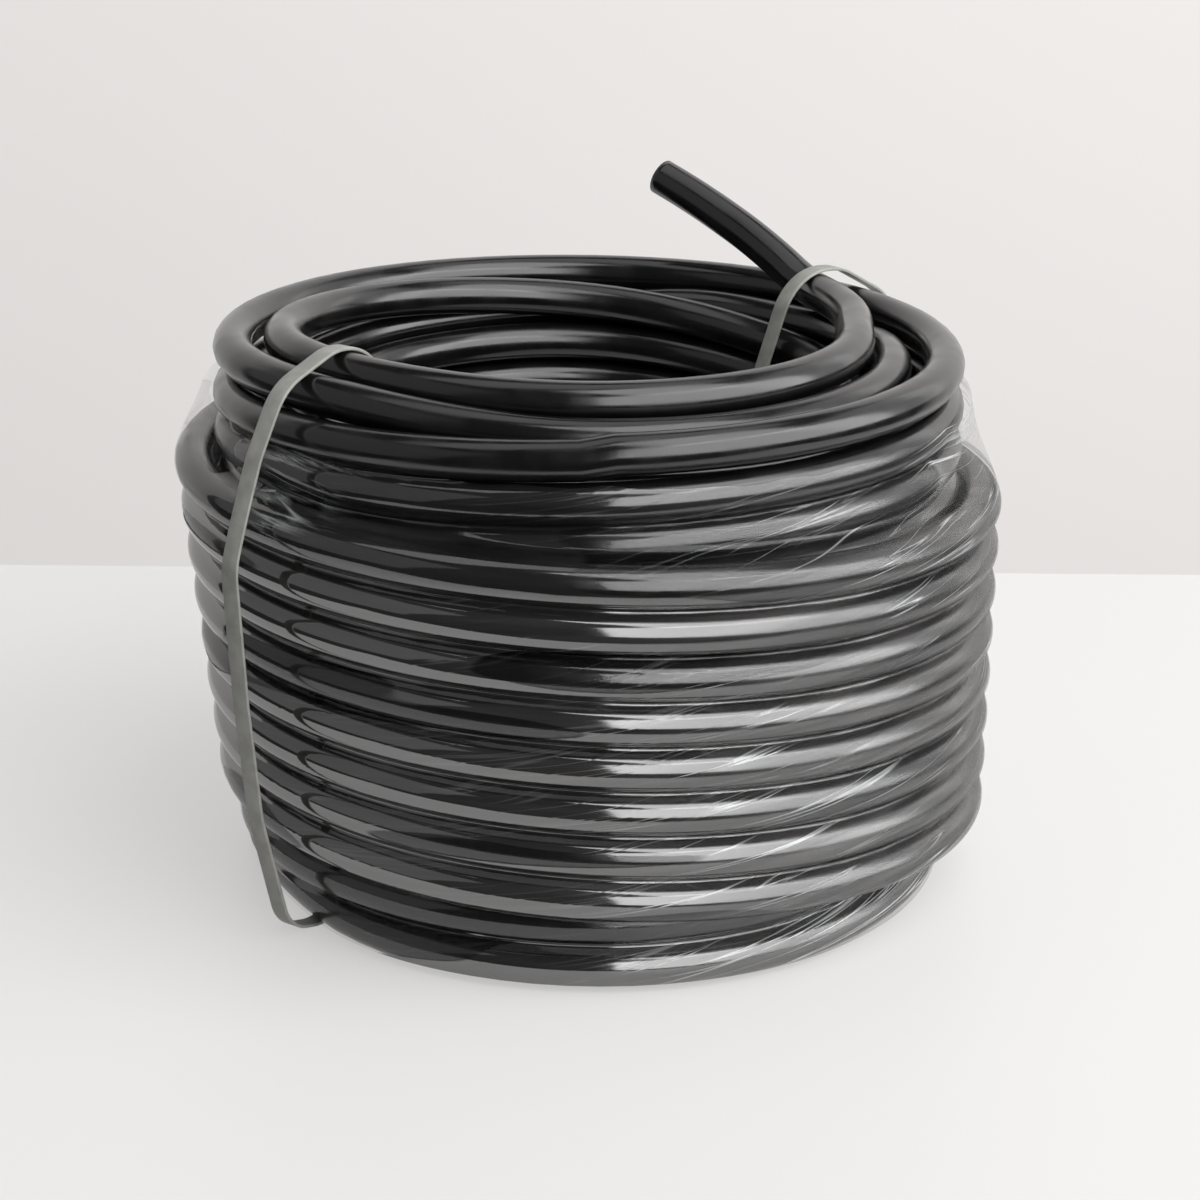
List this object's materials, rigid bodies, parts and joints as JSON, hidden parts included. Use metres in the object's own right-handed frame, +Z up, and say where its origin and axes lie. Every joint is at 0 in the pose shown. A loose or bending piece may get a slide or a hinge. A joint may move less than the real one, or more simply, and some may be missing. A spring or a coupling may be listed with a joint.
{
  "type": "soaker hose",
  "caption": "Coiled garden soaker hose, a smooth black tube wound in layers, tied with nylon cable ties and wrapped in clear film, with one cut end standing up",
  "frame": {"origin": "centre of the footprint, on the floor that the coil stands on", "axes": "+Z up along the coil's axis, -Y to the front, +X to the right; the free end stands up at the back, towards +Y, and its cut mouth points to -X"},
  "size_m": [0.3415, 0.3415, 0.2684],
  "materials": {
    "hose": "semi-gloss black polyethylene",
    "tie": "milky translucent nylon",
    "film": "clear stretch film"
  },
  "bodies": {
    "root": {"hose_free_end": "hose", "hose_coil": "hose", "hose_middle_turns": "hose", "tie_front": "tie", "tie_back": "tie", "film_wrap": "film"}
  },
  "joints": []
}
